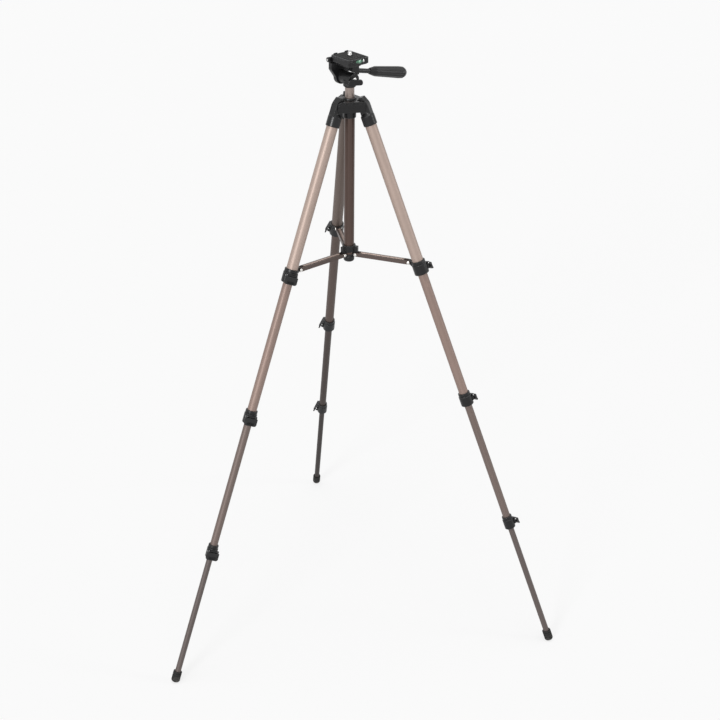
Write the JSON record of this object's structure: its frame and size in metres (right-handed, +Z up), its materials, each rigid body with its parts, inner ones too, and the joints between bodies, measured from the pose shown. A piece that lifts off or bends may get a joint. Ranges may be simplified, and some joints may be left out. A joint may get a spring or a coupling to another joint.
{
  "type": "folding camera tripod",
  "caption": "Folding tripod with telescoping legs, flip-lever clamps, a centre spreader and a pan-and-tilt head whose platform carries a stud for an instrument.",
  "frame": {"origin": "on the ground, under the middle of the box that holds the open tripod", "axes": "+Z up, +Y towards the rear leg, +X towards the right leg's side"},
  "size_m": [0.6694, 0.5816, 1.0178],
  "materials": {
    "top_tube": "champagne-bronze anodised, drawn along its length",
    "lower_tube": "dark grey-brown anodised",
    "centre_tube": "dark brown anodised",
    "column_tube": "champagne-bronze anodised, drawn along its length",
    "brace_channel": "dark bronze anodised, pressed from strip",
    "moulded_black": "satin black moulded plastic, lightly grained",
    "grip_plastic": "smooth satin black plastic with flutes",
    "handle_shaft": "black painted rod",
    "foot_rubber": "matte black rubber",
    "pad_rubber": "ribbed black rubber",
    "steel": "bright zinc-plated steel",
    "rivet_steel": "bright rolled rivet heads",
    "vial": "green liquid in a clear sleeve"
  },
  "bodies": {
    "root": {"shoulder": "moulded_black", "leg_hinge_pins": "steel", "guide_tube": "centre_tube", "end_plug": "moulded_black"},
    "column": {"column_tube": "column_tube", "head_base": "moulded_black"},
    "pan_head": {"pan_body": "moulded_black"},
    "pan_lock": {"pan_lock_knob": "moulded_black"},
    "tilt_head": {"tilt_bracket": "moulded_black", "tilt_bolt": "steel", "flip_pin": "steel"},
    "pan_handle": {"handle_shaft": "handle_shaft", "handle_grip": "grip_plastic"},
    "platform": {"platform": "moulded_black", "camera_plate": "moulded_black", "plate_pad": "pad_rubber", "bubble_vial": "vial"},
    "screw": {"camera_screw": "steel"},
    "spreader": {"spreader_hub": "moulded_black", "hub_rivets": "rivet_steel"},
    "brace_left": {"brace_left": "brace_channel"},
    "leg_left": {"leg_cap_left": "moulded_black", "leg_tube_1_left": "top_tube", "collar_1_left": "moulded_black"},
    "section_2_left": {"leg_tube_2_left": "lower_tube", "collar_2_left": "moulded_black"},
    "section_3_left": {"leg_tube_3_left": "lower_tube", "collar_3_left": "moulded_black"},
    "section_4_left": {"leg_tube_4_left": "lower_tube", "foot_left": "foot_rubber"},
    "lever_1_left": {"lever_1_left": "moulded_black"},
    "lever_2_left": {"lever_2_left": "moulded_black"},
    "lever_3_left": {"lever_3_left": "moulded_black"},
    "brace_right": {"brace_right": "brace_channel"},
    "leg_right": {"leg_cap_right": "moulded_black", "leg_tube_1_right": "top_tube", "collar_1_right": "moulded_black"},
    "section_2_right": {"leg_tube_2_right": "lower_tube", "collar_2_right": "moulded_black"},
    "section_3_right": {"leg_tube_3_right": "lower_tube", "collar_3_right": "moulded_black"},
    "section_4_right": {"leg_tube_4_right": "lower_tube", "foot_right": "foot_rubber"},
    "lever_1_right": {"lever_1_right": "moulded_black"},
    "lever_2_right": {"lever_2_right": "moulded_black"},
    "lever_3_right": {"lever_3_right": "moulded_black"},
    "brace_rear": {"brace_rear": "brace_channel"},
    "leg_rear": {"leg_cap_rear": "moulded_black", "leg_tube_1_rear": "top_tube", "collar_1_rear": "moulded_black"},
    "section_2_rear": {"leg_tube_2_rear": "lower_tube", "collar_2_rear": "moulded_black"},
    "section_3_rear": {"leg_tube_3_rear": "lower_tube", "collar_3_rear": "moulded_black"},
    "section_4_rear": {"leg_tube_4_rear": "lower_tube", "foot_rear": "foot_rubber"},
    "lever_1_rear": {"lever_1_rear": "moulded_black"},
    "lever_2_rear": {"lever_2_rear": "moulded_black"},
    "lever_3_rear": {"lever_3_rear": "moulded_black"}
  },
  "joints": [
    {"name": "column_slide", "type": "slide", "parent": "root", "child": "column", "axis": [0, 0, 1], "range_m": [0, 0.19994]},
    {"name": "pan", "type": "hinge", "parent": "column", "child": "pan_head", "pos_m": [0, -0.09446, 0.96911], "axis": [0, 0, 1], "continuous": true},
    {"name": "pan_lock_turn", "type": "hinge", "parent": "pan_head", "child": "pan_lock", "pos_m": [-0.00052, -0.10925, 0.97491], "axis": [0.0349, 0.9994, 0], "range_deg": [0, 120]},
    {"name": "tilt", "type": "hinge", "parent": "pan_head", "child": "tilt_head", "pos_m": [0, -0.09446, 0.97611], "axis": [0.5, -0.866, 0], "range_deg": [-30, 85]},
    {"name": "handle_turn", "type": "hinge", "parent": "tilt_head", "child": "pan_handle", "pos_m": [0.01212, -0.08746, 0.98611], "axis": [0.8468, 0.4889, -0.2096], "range_deg": [0, 270]},
    {"name": "platform_flip", "type": "hinge", "parent": "tilt_head", "child": "platform", "pos_m": [-0.01215, -0.07341, 1.00421], "axis": [-0.866, -0.5, 0], "range_deg": [0, 90]},
    {"name": "screw_turn", "type": "hinge", "parent": "platform", "child": "screw", "pos_m": [0, -0.09446, 1.01181], "axis": [0, 0, 1], "continuous": true},
    {"name": "spreader_slide", "type": "slide", "parent": "root", "child": "spreader", "axis": [0, 0, 1], "range_m": [0, 0.07801]},
    {"name": "brace_fold_left", "type": "hinge", "parent": "spreader", "child": "brace_left", "pos_m": [-0.01065, -0.10061, 0.68567], "axis": [0.5, -0.866, 0], "range_deg": [0, 86.73]},
    {"name": "leg_fold_left", "type": "hinge", "parent": "brace_left", "child": "leg_left", "pos_m": [-0.08885, -0.14575, 0.68567], "axis": [-0.5, 0.866, 0], "range_deg": [0, 67.87]},
    {"name": "section_2_slide_left", "type": "slide", "parent": "leg_left", "child": "section_2_left", "axis": [0.3084, 0.178, 0.9345], "range_m": [0, 0.205]},
    {"name": "lever_1_turn_left", "type": "hinge", "parent": "leg_left", "child": "lever_1_left", "pos_m": [-0.10388, -0.16664, 0.68391], "axis": [-0.9508, 0.0284, 0.3084], "range_deg": [0, 90]},
    {"name": "section_3_slide_left", "type": "slide", "parent": "section_2_left", "child": "section_3_left", "axis": [0.3084, 0.178, 0.9345], "range_m": [0, 0.205]},
    {"name": "lever_2_turn_left", "type": "hinge", "parent": "section_2_left", "child": "lever_2_left", "pos_m": [-0.17809, -0.20808, 0.45892], "axis": [-0.9508, 0.0284, 0.3084], "range_deg": [0, 90]},
    {"name": "section_4_slide_left", "type": "slide", "parent": "section_3_left", "child": "section_4_left", "axis": [0.3084, 0.178, 0.9345], "range_m": [0, 0.20463]},
    {"name": "lever_3_turn_left", "type": "hinge", "parent": "section_3_left", "child": "lever_3_left", "pos_m": [-0.25229, -0.24952, 0.23394], "axis": [-0.9508, 0.0284, 0.3084], "range_deg": [0, 90]},
    {"name": "brace_fold_right", "type": "hinge", "parent": "spreader", "child": "brace_right", "pos_m": [0.01065, -0.10061, 0.68567], "axis": [0.5, 0.866, 0], "range_deg": [0, 86.73]},
    {"name": "leg_fold_right", "type": "hinge", "parent": "brace_right", "child": "leg_right", "pos_m": [0.08885, -0.14575, 0.68567], "axis": [-0.5, -0.866, 0], "range_deg": [0, 67.87]},
    {"name": "section_2_slide_right", "type": "slide", "parent": "leg_right", "child": "section_2_right", "axis": [-0.3084, 0.178, 0.9345], "range_m": [0, 0.205]},
    {"name": "lever_1_turn_right", "type": "hinge", "parent": "leg_right", "child": "lever_1_right", "pos_m": [0.11445, -0.14833, 0.68391], "axis": [0.4508, -0.8376, 0.3084], "range_deg": [0, 90]},
    {"name": "section_3_slide_right", "type": "slide", "parent": "section_2_right", "child": "section_3_right", "axis": [-0.3084, 0.178, 0.9345], "range_m": [0, 0.205]},
    {"name": "lever_2_turn_right", "type": "hinge", "parent": "section_2_right", "child": "lever_2_right", "pos_m": [0.18744, -0.19188, 0.45892], "axis": [0.4508, -0.8376, 0.3084], "range_deg": [0, 90]},
    {"name": "section_4_slide_right", "type": "slide", "parent": "section_3_right", "child": "section_4_right", "axis": [-0.3084, 0.178, 0.9345], "range_m": [0, 0.20463]},
    {"name": "lever_3_turn_right", "type": "hinge", "parent": "section_3_right", "child": "lever_3_right", "pos_m": [0.26044, -0.23542, 0.23394], "axis": [0.4508, -0.8376, 0.3084], "range_deg": [0, 90]},
    {"name": "brace_fold_rear", "type": "hinge", "parent": "spreader", "child": "brace_rear", "pos_m": [0, -0.08216, 0.68567], "axis": [-1, 0, 0], "range_deg": [0, 86.73]},
    {"name": "leg_fold_rear", "type": "hinge", "parent": "brace_rear", "child": "leg_rear", "pos_m": [0, 0.00813, 0.68567], "axis": [1, 0, 0], "range_deg": [0, 67.87]},
    {"name": "section_2_slide_rear", "type": "slide", "parent": "leg_rear", "child": "section_2_rear", "axis": [0, -0.3561, 0.9345], "range_m": [0, 0.205]},
    {"name": "lever_1_turn_rear", "type": "hinge", "parent": "leg_rear", "child": "lever_1_rear", "pos_m": [-0.01057, 0.0316, 0.68391], "axis": [0.5, 0.8093, 0.3084], "range_deg": [0, 90]},
    {"name": "section_3_slide_rear", "type": "slide", "parent": "section_2_rear", "child": "section_3_rear", "axis": [0, -0.3561, 0.9345], "range_m": [0, 0.205]},
    {"name": "lever_2_turn_rear", "type": "hinge", "parent": "section_2_rear", "child": "lever_2_rear", "pos_m": [-0.00935, 0.11658, 0.45892], "axis": [0.5, 0.8093, 0.3084], "range_deg": [0, 90]},
    {"name": "section_4_slide_rear", "type": "slide", "parent": "section_3_rear", "child": "section_4_rear", "axis": [0, -0.3561, 0.9345], "range_m": [0, 0.20463]},
    {"name": "lever_3_turn_rear", "type": "hinge", "parent": "section_3_rear", "child": "lever_3_rear", "pos_m": [-0.00814, 0.20157, 0.23394], "axis": [0.5, 0.8093, 0.3084], "range_deg": [0, 90]}
  ],
  "couplings": [
    {"joint": "brace_fold_left", "follows": "spreader_slide", "rad_per_m": 19.403},
    {"joint": "leg_fold_left", "follows": "spreader_slide", "rad_per_m": 15.184},
    {"joint": "brace_fold_right", "follows": "spreader_slide", "rad_per_m": 19.403},
    {"joint": "leg_fold_right", "follows": "spreader_slide", "rad_per_m": 15.184},
    {"joint": "brace_fold_rear", "follows": "spreader_slide", "rad_per_m": 19.403},
    {"joint": "leg_fold_rear", "follows": "spreader_slide", "rad_per_m": 15.184}
  ]
}
